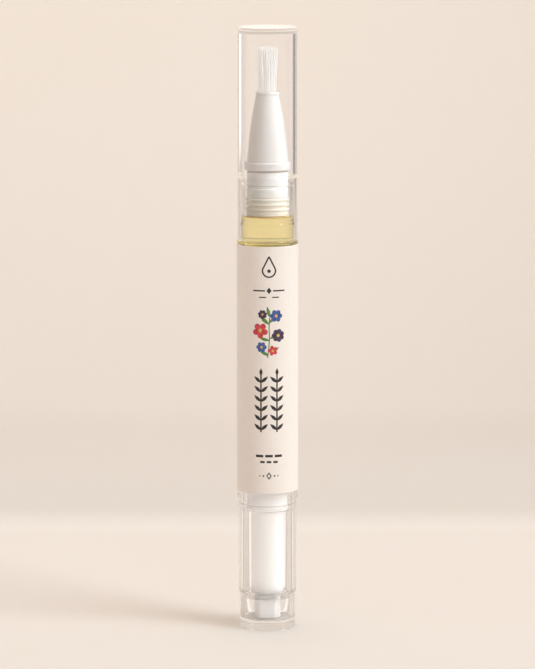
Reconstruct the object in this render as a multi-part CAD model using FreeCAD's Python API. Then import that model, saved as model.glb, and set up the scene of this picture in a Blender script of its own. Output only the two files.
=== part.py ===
import FreeCAD, Part
import math
import os

# Nail oil pen with a twist knob, in millimetres.
# The pen stands on its tail: +Z runs up the pen's axis, and the origin is the middle of the base.

# Fits and edges
fit_clearance = 0.02
running_clearance = 0.05
slide_clearance = 0.05
turning_gap = 0.1
loose_gap = 0.2
edge_rounding = 0.2

# Barrel
barrel_radius = 6.0
barrel_wall = 0.9
barrel_length = 50.0
shoulder_wall = 1.0
shoulder_slope = 0.7
shoulder_rounding = 0.2
neck_length = 12.3
neck_wall = 0.85
bead_height = 0.12
bead_length = 1.3
low_bead_lift = 2.4
top_bead_drop = 0.1

# Cap
cap_inset = 0.07
cap_draft = 0.04
cap_skirt_wall = 0.56
cap_wall = 0.85
cap_top_wall = 1.1
cap_rounding = 0.7
cap_inner_rounding = 0.4
tip_room = 2.6

# Label
label_thickness = 0.1
label_glue = 0.01
label_head_gap = 0.7
label_tail_gap = 0.1
label_seam_gap = 1.0
label_seam_angle = 120.0

# Neck plug
plug_depth = 6.5
plug_stand = 1.3
plug_wall = 0.85
plug_ring_gap = 0.28
plug_rib_depth = 0.28
plug_top_ring_length = 2.5
plug_low_ring_length = 1.7
plug_ring_space = 0.7
plug_rib_count = 3
plug_rib_length = 0.4
plug_rib_pitch = 0.95
plug_floor = 0.9
plug_rounding = 0.12

# Nozzle
flange_air = 0.55
flange_length = 1.5
flange_ledge = 0.44
flange_rounding = 0.15
groove_length = 0.4
groove_depth = 0.35
cone_length = 13.8
cone_tip_radius = 2.285
cone_bulge = 0.22
cone_rim = 0.06
cone_rim_length = 0.7
nozzle_wall = 1.0
tip_wall = 0.55
nozzle_spigot_length = 5.2

# Brush
brush_root_length = 3.6
brush_hold_length = 2.8
bristle_reach = 9.0
bristle_tip_radius = 2.05
bristle_base_radius = 1.7
bristle_crown = 0.8
bristle_waist = 0.06
feed_radius = 0.6
feed_wall = 0.2
feed_reach = 2.0

# Oil
oil_drop = 0.3
oil_film = 0.03

# Knob and its tail cup
knob_inset = 0.225
knob_wall = 1.725
knob_length = 19.2
knob_rim_length = 1.5
spigot_length = 1.1
cup_inset = 0.175
cup_wall = 1.0
cup_length = 7.2
cup_floor = 1.9
cup_rounding = 0.5
snap_bead_height = 0.18
snap_bead_length = 0.7
snap_groove_margin = 0.2
snap_lift = 0.3

# Tail bush and nut in the barrel
journal_length = 4.1
journal_wall = 0.55
bush_length = 8.2
bush_floor = 1.6
bush_wall = 0.66
bush_key_width = 1.0
bush_key_height = 0.4
bush_key_length = 3.0
nut_length = 3.2
dog_width = 1.2
dog_length = 0.8

# Ratchet
ratchet_length = 2.5
ratchet_back = 0.2
tooth_count = 18
tooth_depth = 0.25
tooth_undercut = 0.05
pawl_length = 1.9
pawl_thickness = 0.22
pawl_slot = 0.14
pawl_clearance = 0.07
pawl_count = 3
pawl_span = 85.0
pawl_root_span = 20.0

# Drive sleeve
sleeve_clearance = 0.2
sleeve_wall = 0.8
sleeve_floor = 0.8
sleeve_tail_wall = 0.65
sleeve_tail_flat = 0.4
sleeve_seat_step = 0.15
sleeve_seat_flat = 0.3
key_length = 3.0
rod_air = 0.25

# Screw rod
rod_radius = 1.3
thread_depth = 0.45
thread_lead = 3.0
thread_root_width = 1.2
thread_crest_width = 0.6
thread_overlap = 0.2
thread_clearance = 0.12
rod_flat_depth = 0.4
rod_neck_radius = 1.1
rod_head_radius = 1.9
rod_head_length = 1.4
key_left_engaged = 1.5

# Piston
piston_length = 5.0
piston_clearance = 0.1
piston_lip = 0.9
piston_chamfer = 0.3
seal_cord = 1.0
seal_clearance = 0.02
seal_inset = 1.2

# Heights along the axis, from the base up
cup_top = cup_length
knob_top = cup_top + knob_length
knob_rim_top = knob_top + knob_rim_length
barrel_tail = knob_rim_top + turning_gap
barrel_shoulder = barrel_tail + barrel_length
barrel_roof = barrel_shoulder - shoulder_wall
neck_rim = barrel_shoulder + neck_length
plug_top = neck_rim + plug_stand
plug_bottom = neck_rim - plug_depth
oil_top = plug_bottom - oil_drop
flange_bottom = plug_top + groove_length
flange_top = flange_bottom + flange_length
cone_top = flange_top + cone_length
bristle_tip = cone_top + bristle_reach
cap_ceiling = bristle_tip + tip_room
cap_top = cap_ceiling + cap_top_wall
bush_top = barrel_tail + bush_length
nut_top = bush_top + nut_length
piston_bottom = nut_top + loose_gap
piston_top = piston_bottom + piston_length
ratchet_bottom = barrel_tail + bush_floor
sleeve_bottom = cup_floor + turning_gap
sleeve_top = bush_top - loose_gap
pawl_bottom = ratchet_bottom + (ratchet_length - pawl_length) / 2
web_top = cup_top + turning_gap
sleeve_shoulder = web_top + fit_clearance
rod_bottom = sleeve_bottom + sleeve_floor + loose_gap
piston_stroke = sleeve_top - key_left_engaged - rod_bottom

# Radii, from the outside in
barrel_bore = barrel_radius - barrel_wall
cap_radius = barrel_radius - cap_inset
cap_skirt_bore = cap_radius - cap_skirt_wall
cap_bore = cap_radius - cap_wall
bead_radius = cap_skirt_bore - slide_clearance
neck_radius = bead_radius - bead_height
neck_bore = neck_radius - neck_wall
flange_radius = cap_bore - flange_air
cone_base_radius = flange_radius - flange_ledge
plug_rib_radius = neck_bore - fit_clearance
plug_ring_radius = neck_bore - plug_ring_gap
plug_radius = plug_ring_radius - plug_rib_depth
plug_bore = plug_radius - plug_wall
nozzle_spigot_radius = plug_bore - fit_clearance
nozzle_bore = nozzle_spigot_radius - nozzle_wall
brush_socket_radius = cone_tip_radius - tip_wall
brush_root_radius = brush_socket_radius - fit_clearance
knob_radius = barrel_radius - knob_inset
knob_bore = knob_radius - knob_wall
cup_radius = knob_radius - cup_inset
cup_bore = cup_radius - cup_wall
journal_radius = knob_bore - running_clearance
journal_bore = journal_radius - journal_wall
sleeve_radius = journal_bore - sleeve_clearance
sleeve_seat_radius = sleeve_radius - sleeve_seat_step
bush_radius = barrel_bore - fit_clearance
bush_seat_radius = bush_radius - bush_wall
ratchet_radius = bush_seat_radius - fit_clearance
tooth_root_radius = ratchet_radius - ratchet_back
tooth_crest_radius = tooth_root_radius - tooth_depth
pawl_tip_radius = tooth_crest_radius - pawl_clearance
pawl_hub_radius = pawl_tip_radius - pawl_thickness - pawl_slot
thread_core_radius = rod_radius - thread_depth
rod_flat = rod_radius - rod_flat_depth
sleeve_bore = sleeve_radius - sleeve_wall
sleeve_tail_bore = rod_radius + rod_air
sleeve_tail_flats = sleeve_tail_bore + sleeve_tail_wall
piston_radius = barrel_bore - piston_clearance
seal_radius = barrel_bore - seal_clearance

axis_point = FreeCAD.Vector(0, 0, 0)
axis = FreeCAD.Vector(0, 0, 1)
full_turn = 360.0
rounding_share = 0.45
tiny = 1e-6


def rounded_corner(before, here, after, rounding):
    """Start, middle and end of the arc that rounds one corner of an outline."""
    back = (before - here).normalize()
    on = (after - here).normalize()
    half = back.getAngle(on) / 2
    room = rounding_share * min((before - here).Length, (after - here).Length)
    reach = min(rounding / math.tan(half), room)
    inward = (back + on).normalize()
    radius = reach * math.tan(half)
    middle = here + inward * (radius / math.sin(half) - radius)
    return here + back * reach, middle, here + on * reach


def bulged(start, end, bulge):
    """An arc from start to end that stands out from the straight line, to the right of its way."""
    along = (end - start).normalize()
    out = along.cross(FreeCAD.Vector(0, 1, 0))
    middle = (start + end) * 0.5 - out * bulge
    return Part.Arc(start, middle, end).toShape()


def turned(corners, angle=full_turn):
    """A solid turned about the pen's axis from (radius, height, rounding, bulge) corners."""
    points = [FreeCAD.Vector(corner[0], 0, corner[1]) for corner in corners]
    count = len(points)
    bends = []
    for i, corner in enumerate(corners):
        rounding = corner[2] if len(corner) > 2 else 0
        here = points[i]
        if rounding:
            bends.append(rounded_corner(points[i - 1], here, points[(i + 1) % count], rounding))
        else:
            bends.append((here, None, here))
    edges = []
    for i, corner in enumerate(corners):
        start, middle, end = bends[i]
        if middle:
            edges.append(Part.Arc(start, middle, end).toShape())
        following = bends[(i + 1) % count][0]
        bulge = corner[3] if len(corner) > 3 else 0
        if bulge:
            edges.append(bulged(end, following, bulge))
        elif (following - end).Length > tiny:
            edges.append(Part.LineSegment(end, following).toShape())
    solid = Part.Face(Part.Wire(edges)).revolve(axis_point, axis, angle)
    if solid.Volume < 0:
        solid.reverse()
    return solid


def tube(inner, outer, low, high):
    return turned([(inner, low), (outer, low), (outer, high), (inner, high)])


def rod_shape(radius, low, high):
    return Part.makeCylinder(radius, high - low, FreeCAD.Vector(0, 0, low))


def block(width, depth, low, high, x=0.0, y=0.0):
    """An upright block centred on x and y."""
    corner = FreeCAD.Vector(x - width / 2, y - depth / 2, low)
    return Part.makeBox(width, depth, high - low, corner)


def with_flats(radius, flat, low, high):
    """A round bar with two flats that face along Y."""
    return rod_shape(radius, low, high).common(block(2 * radius, 2 * flat, low, high))


def at_angle(radius, degrees):
    turn = math.radians(degrees)
    return FreeCAD.Vector(radius * math.cos(turn), radius * math.sin(turn), 0)


def sector(inner, outer, first, last, low, high):
    """A piece of a ring between two angles in degrees."""
    ring = Part.Face(Part.makePolygon([
        FreeCAD.Vector(inner, 0, low),
        FreeCAD.Vector(outer, 0, low),
        FreeCAD.Vector(outer, 0, high),
        FreeCAD.Vector(inner, 0, high),
        FreeCAD.Vector(inner, 0, low),
    ]))
    piece = ring.revolve(axis_point, axis, last - first)
    piece.rotate(axis_point, axis, first)
    if piece.Volume < 0:
        piece.reverse()
    return piece


def thread_ridge(margin, start, low, high):
    """The rod's helical ridge between two heights, grown by a margin on every side."""
    crest = rod_radius + margin
    root = thread_core_radius - thread_overlap
    slope = (thread_root_width - thread_crest_width) / 2 / thread_depth
    crest_half = thread_crest_width / 2 + margin
    root_half = crest_half + slope * (crest - root)
    ridge_path = Part.makeHelix(thread_lead, high - start + thread_lead, thread_core_radius)
    outline = Part.makePolygon([
        FreeCAD.Vector(root, 0, -root_half),
        FreeCAD.Vector(crest, 0, -crest_half),
        FreeCAD.Vector(crest, 0, crest_half),
        FreeCAD.Vector(root, 0, root_half),
        FreeCAD.Vector(root, 0, -root_half),
    ])
    ridge = Part.Wire(ridge_path.Edges).makePipeShell([outline], True, True)
    ridge.translate(FreeCAD.Vector(0, 0, start))
    return ridge.common(rod_shape(2 * rod_radius, low, high))


# Cap body

def make_cap_shell():
    """Clear cap: a thin skirt over the neck, a thicker wall above, a flat closed top."""
    step = neck_rim + loose_gap
    top_radius = cap_radius - cap_draft
    return turned([
        (cap_skirt_bore, barrel_shoulder),
        (cap_radius, barrel_shoulder, edge_rounding),
        (top_radius, cap_top, cap_rounding),
        (0, cap_top),
        (0, cap_ceiling),
        (cap_bore - cap_draft, cap_ceiling, cap_inner_rounding),
        (cap_bore, step),
        (cap_skirt_bore, step),
    ])


# Barrel body

def make_barrel():
    """Clear reservoir: an open tail, a sloped inner shoulder, and a neck with two beads."""
    low_bead = barrel_shoulder + low_bead_lift
    top_bead = neck_rim - top_bead_drop - bead_length
    slope_start = barrel_roof - shoulder_slope
    corners = [
        (barrel_bore, barrel_tail),
        (barrel_radius, barrel_tail),
        (barrel_radius, barrel_shoulder, shoulder_rounding),
        (neck_radius, barrel_shoulder),
    ]
    for bead in (low_bead, top_bead):
        corners += [
            (neck_radius, bead),
            (bead_radius, bead + bead_length / 3),
            (bead_radius, bead + bead_length * 2 / 3),
            (neck_radius, bead + bead_length),
        ]
    corners += [
        (neck_radius, neck_rim, bead_height),
        (neck_bore, neck_rim, bead_height),
        (neck_bore, barrel_roof),
        (barrel_bore, slope_start),
    ]
    barrel = turned(corners)
    for side in (1, -1):
        barrel = barrel.cut(bush_key(side, fit_clearance))
    return barrel


def bush_key(side, margin):
    """One of the two keys that stop the bush from turning in the barrel's tail."""
    reach = bush_radius + bush_key_height + margin
    inner = bush_radius - bush_wall / 2
    high = barrel_tail + bush_key_length + margin
    width = reach - inner
    return block(width, bush_key_width + 2 * margin, barrel_tail, high, x=side * (inner + reach) / 2)


def make_label():
    """Paper label wrapped round the barrel, with a narrow gap where its ends nearly meet."""
    inner = barrel_radius + label_glue
    outer = inner + label_thickness
    low = barrel_tail + label_tail_gap
    high = barrel_shoulder - label_head_gap
    gap = math.degrees(label_seam_gap / outer)
    wrap = turned([(inner, low), (outer, low), (outer, high), (inner, high)], full_turn - gap)
    wrap.rotate(axis_point, axis, label_seam_angle + gap / 2)
    return wrap


def make_oil():
    """The filling, from the piston up to its level in the neck."""
    low = piston_top + oil_film
    return turned([
        (0, low),
        (barrel_bore - oil_film, low),
        (barrel_bore - oil_film, barrel_roof - shoulder_slope - oil_film),
        (neck_bore - oil_film, barrel_roof - oil_film),
        (neck_bore - oil_film, oil_top),
        (0, oil_top),
    ])


def make_neck_plug():
    """Ribbed plug in the neck: two wide rings, thin sealing ribs below, and a small feed hole."""
    top_ring = plug_top - plug_top_ring_length
    low_ring = top_ring - plug_ring_space - plug_low_ring_length
    corners = [
        (feed_radius + fit_clearance, plug_bottom),
        (plug_radius, plug_bottom),
    ]
    last_rib = low_ring - plug_rib_length - plug_rib_depth
    for i in reversed(range(plug_rib_count)):
        rib = last_rib - i * plug_rib_pitch
        corners += [
            (plug_radius, rib),
            (plug_rib_radius, rib),
            (plug_rib_radius, rib + plug_rib_length),
            (plug_radius, rib + plug_rib_length),
        ]
    corners += [
        (plug_radius, low_ring),
        (plug_ring_radius, low_ring, plug_rounding),
        (plug_ring_radius, low_ring + plug_low_ring_length, plug_rounding),
        (plug_radius, low_ring + plug_low_ring_length),
        (plug_radius, top_ring),
        (plug_ring_radius, top_ring, plug_rounding),
        (plug_ring_radius, plug_top, plug_rounding),
        (plug_bore, plug_top),
        (plug_bore, plug_bottom + plug_floor),
        (feed_radius + fit_clearance, plug_bottom + plug_floor),
    ]
    return turned(corners)


def make_nozzle():
    """White cone with a flange, a spigot in the plug and a socket for the brush at its tip."""
    spigot_bottom = plug_top - nozzle_spigot_length
    socket_bottom = cone_top - brush_hold_length - brush_root_length
    rim = cone_rim_length
    return turned([
        (nozzle_bore, spigot_bottom),
        (nozzle_spigot_radius, spigot_bottom),
        (nozzle_spigot_radius, plug_top),
        (plug_ring_radius - groove_depth, plug_top),
        (plug_ring_radius - groove_depth, flange_bottom),
        (flange_radius, flange_bottom, flange_rounding),
        (flange_radius, flange_top, flange_rounding),
        (cone_base_radius, flange_top, 0, cone_bulge),
        (cone_tip_radius, cone_top - rim),
        (cone_tip_radius + cone_rim, cone_top - rim),
        (cone_tip_radius + cone_rim, cone_top, cone_rim),
        (brush_socket_radius, cone_top),
        (brush_socket_radius, socket_bottom),
        (feed_radius + fit_clearance, socket_bottom),
        (feed_radius + fit_clearance, socket_bottom - nozzle_wall),
        (nozzle_bore, socket_bottom - nozzle_wall - nozzle_bore),
    ])


def make_brush_root():
    """Fused root of the bristles, seated in the nozzle's socket round the feed tube."""
    low = cone_top - brush_hold_length - brush_root_length
    return tube(feed_radius + fit_clearance, brush_root_radius, low, cone_top - brush_hold_length)


def dome_bulge(radius, rise):
    """How far a round dome stands out from the line between its edge and its top."""
    chord = math.hypot(radius, rise)
    ball_radius = chord ** 2 / (2 * rise)
    return ball_radius - math.sqrt(ball_radius ** 2 - chord ** 2 / 4)


def make_bristle_tuft():
    """The bristles as one bundle: straight in the socket, flared above it, with a rounded crown."""
    low = cone_top - brush_hold_length
    hole = feed_radius + fit_clearance
    hole_top = cone_top + feed_reach + fit_clearance
    shoulder = bristle_tip - bristle_crown
    return turned([
        (hole, low),
        (brush_root_radius, low),
        (brush_root_radius, cone_top),
        (bristle_base_radius, cone_top, 0, -bristle_waist),
        (bristle_tip_radius, shoulder, 0, dome_bulge(bristle_tip_radius, bristle_crown)),
        (0, bristle_tip),
        (0, hole_top),
        (hole, hole_top),
    ])


def make_feed_tube():
    """Thin tube from the plug's feed hole through the nozzle into the bristles."""
    return tube(feed_radius - feed_wall, feed_radius, plug_bottom, cone_top + feed_reach)


def make_tail_bush():
    """Fixed bush in the barrel's tail: keyed body, ratchet seat, journal and snap bead for the knob."""
    journal_bottom = barrel_tail - journal_length
    bead = journal_bottom + snap_lift
    body = turned([
        (journal_bore, journal_bottom),
        (journal_radius, journal_bottom),
        (journal_radius, bead),
        (journal_radius + snap_bead_height, bead + snap_bead_length / 3),
        (journal_radius + snap_bead_height, bead + snap_bead_length * 2 / 3),
        (journal_radius, bead + snap_bead_length),
        (journal_radius, barrel_tail),
        (bush_radius, barrel_tail),
        (bush_radius, bush_top),
        (bush_seat_radius, bush_top),
        (bush_seat_radius, ratchet_bottom),
        (journal_bore, ratchet_bottom),
    ])
    for side in (1, -1):
        body = body.fuse(bush_key(side, 0))
        body = body.cut(nut_dog(side, fit_clearance))
    return body.removeSplitter()


def nut_dog(side, margin):
    """One of the two dogs under the nut that sit in slots of the bush's top."""
    low = bush_top - dog_length - margin
    width = dog_width + 2 * margin
    wall = tube(bush_seat_radius, bush_radius, low, bush_top)
    return wall.common(block(width, bush_radius, low, bush_top, y=side * bush_radius / 2))


def make_thread_nut():
    """Fixed nut on top of the bush, threaded for the rod and locked by two dogs."""
    nut = rod_shape(bush_radius, bush_top, nut_top)
    for side in (1, -1):
        nut = nut.fuse(nut_dog(side, 0))
    turns_below = math.floor((bush_top - rod_bottom) / thread_lead) - 1
    start = rod_bottom + turns_below * thread_lead
    margin = thread_clearance
    nut = nut.cut(rod_shape(thread_core_radius + margin, bush_top, nut_top))
    return nut.cut(thread_ridge(margin, start, bush_top, nut_top)).removeSplitter()


def make_ratchet_ring():
    """Fixed ring of saw teeth, pressed into the bush."""
    pitch = full_turn / tooth_count
    outline = []
    for i in range(tooth_count):
        outline.append(at_angle(tooth_root_radius, i * pitch))
        outline.append(at_angle(tooth_crest_radius, (i + 1 - tooth_undercut) * pitch))
    outline.append(outline[0])
    teeth = Part.Face(Part.makePolygon(outline)).extrude(axis * ratchet_length)
    teeth.translate(axis * ratchet_bottom)
    ring = rod_shape(ratchet_radius, ratchet_bottom, ratchet_bottom + ratchet_length)
    return ring.cut(teeth)


# Knob body

def make_knob_shell():
    """Clear knob: a rim under the barrel, a bore for the journal, a web that drives the sleeve."""
    spigot_bottom = cup_top - spigot_length
    groove_radius = journal_radius + snap_bead_height + running_clearance
    groove = barrel_tail - journal_length + snap_lift - snap_groove_margin
    groove_top = groove + snap_bead_length + 2 * snap_groove_margin
    shell = turned([
        (0, spigot_bottom),
        (cup_bore - fit_clearance, spigot_bottom),
        (cup_bore - fit_clearance, cup_top),
        (knob_radius, cup_top, edge_rounding),
        (knob_radius, knob_top),
        (barrel_radius, knob_top, edge_rounding),
        (barrel_radius, knob_rim_top, edge_rounding),
        (knob_bore, knob_rim_top),
        (knob_bore, groove_top),
        (groove_radius, groove_top),
        (groove_radius, groove),
        (knob_bore, groove),
        (knob_bore, web_top),
        (0, web_top),
    ])
    return shell.cut(sleeve_tail(fit_clearance, spigot_bottom, web_top))


def sleeve_tail(margin, low, high):
    """The sleeve's flattened tail, which the knob's web turns."""
    flats = sleeve_tail_flats + margin
    return with_flats(flats + sleeve_tail_flat, flats, low, high)


def make_tail_cup():
    """Clear cup with a thick floor that closes the knob's tail."""
    return turned([
        (0, 0),
        (cup_radius, 0, cup_rounding),
        (cup_radius, cup_top, edge_rounding),
        (cup_bore, cup_top),
        (cup_bore, cup_floor, edge_rounding),
        (0, cup_floor),
    ])


def make_drive_sleeve():
    """White sleeve: a flattened tail in the web, a thin tube round the rod, a keyed top that turns it."""
    sleeve = sleeve_tail(0, sleeve_bottom, sleeve_shoulder)
    sleeve = sleeve.fuse(rod_shape(sleeve_radius, sleeve_shoulder, pawl_bottom))
    seat = rod_shape(sleeve_seat_radius, pawl_bottom, sleeve_top)
    sleeve = sleeve.fuse(seat.cut(seat_flat(0, pawl_bottom, sleeve_top)))
    key_bottom = sleeve_top - key_length
    sleeve = sleeve.cut(rod_shape(sleeve_tail_bore, sleeve_bottom + sleeve_floor, key_bottom))
    sleeve = sleeve.cut(rod_shape(sleeve_bore, sleeve_shoulder + sleeve_floor, key_bottom))
    key = with_flats(rod_radius + thread_clearance, rod_flat + thread_clearance, key_bottom, sleeve_top)
    return sleeve.cut(key).removeSplitter()


def seat_flat(margin, low, high):
    """What the flat on the sleeve's seat leaves out, which keys the pawl ring."""
    width = sleeve_seat_radius
    near = sleeve_seat_radius - sleeve_seat_flat + margin
    return block(width, 2 * bush_radius, low, high, x=near + width / 2)


def make_pawl_ring():
    """Ring on the sleeve with spring arms, shown pressed in as they ride over the teeth."""
    low = pawl_bottom
    high = pawl_bottom + pawl_length
    ring = rod_shape(pawl_hub_radius, low, high)
    arm_inner = pawl_tip_radius - pawl_thickness
    for i in range(pawl_count):
        first = i * full_turn / pawl_count
        arm = sector(arm_inner, pawl_tip_radius, first, first + pawl_span, low, high)
        root_inner = pawl_hub_radius - pawl_slot
        root = sector(root_inner, pawl_tip_radius, first, first + pawl_root_span, low, high)
        ring = ring.fuse(arm).fuse(root)
    hole = rod_shape(sleeve_seat_radius + fit_clearance, low, high)
    return ring.cut(hole.cut(seat_flat(fit_clearance, low, high))).removeSplitter()


# Screw and piston bodies

def make_screw_rod():
    """Threaded rod with two flats; a neck and a head that turns in the piston."""
    thread_top = nut_top + turning_gap
    core = rod_shape(thread_core_radius, rod_bottom, thread_top)
    ridge = thread_ridge(0, rod_bottom, rod_bottom, thread_top)
    slab = block(4 * rod_radius, 2 * rod_flat, rod_bottom, thread_top)
    head_bottom = piston_bottom + piston_lip + slide_clearance
    head = turned([
        (0, thread_top),
        (rod_neck_radius, thread_top),
        (rod_neck_radius, head_bottom),
        (rod_head_radius, head_bottom),
        (rod_head_radius, head_bottom + rod_head_length, piston_chamfer),
        (0, head_bottom + rod_head_length),
    ])
    return core.fuse(ridge.common(slab)).fuse(head).removeSplitter()


def seal_heights():
    return piston_bottom + seal_inset, piston_top - seal_inset


def make_piston():
    """Piston with two seal grooves and a socket that holds the rod's head."""
    groove_radius = seal_radius - seal_cord - fit_clearance
    half = seal_cord / 2 + fit_clearance
    lip_bore = rod_neck_radius + turning_gap
    socket_radius = rod_head_radius + turning_gap
    socket_top = piston_bottom + piston_lip + rod_head_length + 2 * slide_clearance
    corners = [
        (lip_bore, piston_bottom),
        (piston_radius, piston_bottom, piston_chamfer),
    ]
    for middle in seal_heights():
        corners += [
            (piston_radius, middle - half),
            (groove_radius, middle - half),
            (groove_radius, middle + half),
            (piston_radius, middle + half),
        ]
    corners += [
        (piston_radius, piston_top, piston_chamfer),
        (0, piston_top),
        (0, socket_top),
        (socket_radius, socket_top),
        (socket_radius, piston_bottom + piston_lip),
        (lip_bore, piston_bottom + piston_lip),
    ]
    return turned(corners)


def make_seal(middle):
    """A ring seal of round section in one of the piston's grooves."""
    section = seal_cord / 2
    return Part.makeTorus(seal_radius - section, section, FreeCAD.Vector(0, 0, middle))


rear_seal_height, front_seal_height = seal_heights()
pieces = {
    "cap_shell": make_cap_shell(),
    "barrel": make_barrel(),
    "label": make_label(),
    "oil": make_oil(),
    "neck_plug": make_neck_plug(),
    "nozzle": make_nozzle(),
    "brush_root": make_brush_root(),
    "bristle_tuft": make_bristle_tuft(),
    "feed_tube": make_feed_tube(),
    "tail_bush": make_tail_bush(),
    "thread_nut": make_thread_nut(),
    "ratchet_ring": make_ratchet_ring(),
    "knob_shell": make_knob_shell(),
    "tail_cup": make_tail_cup(),
    "drive_sleeve": make_drive_sleeve(),
    "pawl_ring": make_pawl_ring(),
    "screw_rod": make_screw_rod(),
    "piston": make_piston(),
    "front_seal": make_seal(front_seal_height),
    "rear_seal": make_seal(rear_seal_height),
}

os.makedirs("parts", exist_ok=True)
for name, shape in pieces.items():
    shape.exportStep("parts/" + name + ".step")
    print(name, shape.ShapeType, len(shape.Solids), shape.isValid(), round(shape.Volume, 2))
print("length", round(cap_top, 3), "oil in ml", round(pieces["oil"].Volume / 1000, 3))
print("piston stroke", round(piston_stroke, 3), "knob turns", round(piston_stroke / thread_lead, 3))
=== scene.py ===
import bpy
import bmesh
import math
import random
from mathutils import Matrix, Vector


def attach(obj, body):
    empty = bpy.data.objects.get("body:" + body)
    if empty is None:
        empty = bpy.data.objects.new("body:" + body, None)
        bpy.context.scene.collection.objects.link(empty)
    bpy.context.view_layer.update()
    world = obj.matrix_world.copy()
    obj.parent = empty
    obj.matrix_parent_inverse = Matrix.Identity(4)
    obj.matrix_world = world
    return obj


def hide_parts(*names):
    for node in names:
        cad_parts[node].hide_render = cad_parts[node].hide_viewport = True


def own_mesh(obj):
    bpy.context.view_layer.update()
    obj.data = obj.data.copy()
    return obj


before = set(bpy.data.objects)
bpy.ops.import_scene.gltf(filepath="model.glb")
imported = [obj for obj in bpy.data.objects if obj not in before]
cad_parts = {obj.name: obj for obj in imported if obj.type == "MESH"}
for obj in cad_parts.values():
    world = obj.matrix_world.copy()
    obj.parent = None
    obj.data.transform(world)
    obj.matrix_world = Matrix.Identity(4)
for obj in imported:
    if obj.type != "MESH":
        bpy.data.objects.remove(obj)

scene = bpy.context.scene
scene.view_settings.view_transform = "Standard"
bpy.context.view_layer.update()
mm = 0.001
mergeReach = 1e-7
print("frame loaded, nodes:", len(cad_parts))


# Node helpers

def srgb(code):
    parts = [int(code[i:i + 2], 16) / 255 for i in (0, 2, 4)]
    return [p / 12.92 if p <= 0.04045 else ((p + 0.055) / 1.055) ** 2.4 for p in parts] + [1.0]


def addNode(tree, kind, **values):
    node = tree.nodes.new(kind)
    for key, value in values.items():
        setattr(node, key, value)
    return node


def nodeOf(tree, kind):
    return next(node for node in tree.nodes if node.type == kind)


def fillInputs(tree, node, values):
    # each input takes a fixed value or the output of another node
    for key, value in values.items():
        if isinstance(value, bpy.types.NodeSocket):
            tree.links.new(value, node.inputs[key])
        else:
            node.inputs[key].default_value = value


def newMaterial(name):
    mat = bpy.data.materials.new(name)
    mat.use_nodes = True
    tree = mat.node_tree
    tree.nodes.clear()
    out = addNode(tree, "ShaderNodeOutputMaterial")
    coord = addNode(tree, "ShaderNodeTexCoord")
    shader = addNode(tree, "ShaderNodeBsdfPrincipled")
    tree.links.new(shader.outputs[0], out.inputs[0])
    return mat, tree, shader, coord.outputs["Object"]


def newGroup(name, scales, masks):
    # a Vector input, one more input for each scale, and one output for each mask
    group = bpy.data.node_groups.new(name, "ShaderNodeTree")
    group.interface.new_socket("Vector", in_out="INPUT", socket_type="NodeSocketVector")
    for label, value in scales.items():
        socket = group.interface.new_socket(label, in_out="INPUT", socket_type="NodeSocketFloat")
        socket.default_value = value
    for label in masks:
        group.interface.new_socket(label, in_out="OUTPUT", socket_type="NodeSocketFloat")
    return group, group.nodes.new("NodeGroupInput").outputs, group.nodes.new("NodeGroupOutput")


def placeGroup(tree, group, spot, scales):
    node = addNode(tree, "ShaderNodeGroup", node_tree=group)
    fillInputs(tree, node, {"Vector": spot, **scales})
    return node.outputs


def noise(tree, vector, scale, detail, rough, distortion=0.0):
    node = addNode(tree, "ShaderNodeTexNoise")
    fillInputs(tree, node, {"Vector": vector, "Scale": scale, "Detail": detail, "Roughness": rough,
                            "Distortion": distortion})
    return node.outputs[0]


def remap(tree, value, fromLow, fromHigh, toLow=0.0, toHigh=1.0):
    node = addNode(tree, "ShaderNodeMapRange")
    fillInputs(tree, node, {0: value, 1: fromLow, 2: fromHigh, 3: toLow, 4: toHigh})
    return node.outputs[0]


def combine(tree, operation, first, *others, clamp=False):
    # one Math node for each further value
    for other in others:
        node = addNode(tree, "ShaderNodeMath", operation=operation, use_clamp=clamp)
        fillInputs(tree, node, {0: first, 1: other})
        first = node.outputs[0]
    return first


def band(tree, value, low, high, edge):
    # one between low and high, with soft edges
    return combine(tree, "MULTIPLY", remap(tree, value, low, low + edge),
                   remap(tree, value, high - edge, high, 1.0, 0.0))


def blendColour(tree, factor, first, second):
    node = addNode(tree, "ShaderNodeMix", data_type="RGBA")
    fillInputs(tree, node, {0: factor, 6: first, 7: second})
    return node.outputs[2]


def bump(tree, height, strength, distance):
    node = addNode(tree, "ShaderNodeBump")
    fillInputs(tree, node, {"Height": height, "Strength": strength, "Distance": distance})
    return node.outputs[0]


def spotAxes(tree, spot):
    split = addNode(tree, "ShaderNodeSeparateXYZ")
    tree.links.new(spot, split.inputs[0])
    return split.outputs


def clearWhere(tree, factor, shade=(1, 1, 1, 1)):
    # the surface lets everything through, dimmed by the shade colour, where the factor is one
    clear = addNode(tree, "ShaderNodeBsdfTransparent")
    clear.inputs[0].default_value = shade
    mix = addNode(tree, "ShaderNodeMixShader")
    fillInputs(tree, mix, {0: factor, 1: nodeOf(tree, "BSDF_PRINCIPLED").outputs[0], 2: clear.outputs[0]})
    tree.links.new(mix.outputs[0], nodeOf(tree, "OUTPUT_MATERIAL").inputs[0])


def lightThrough(mat, shade):
    # light from the lamps goes on to what lies behind
    path = addNode(mat.node_tree, "ShaderNodeLightPath")
    clearWhere(mat.node_tree, path.outputs["Is Shadow Ray"], shade)


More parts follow.
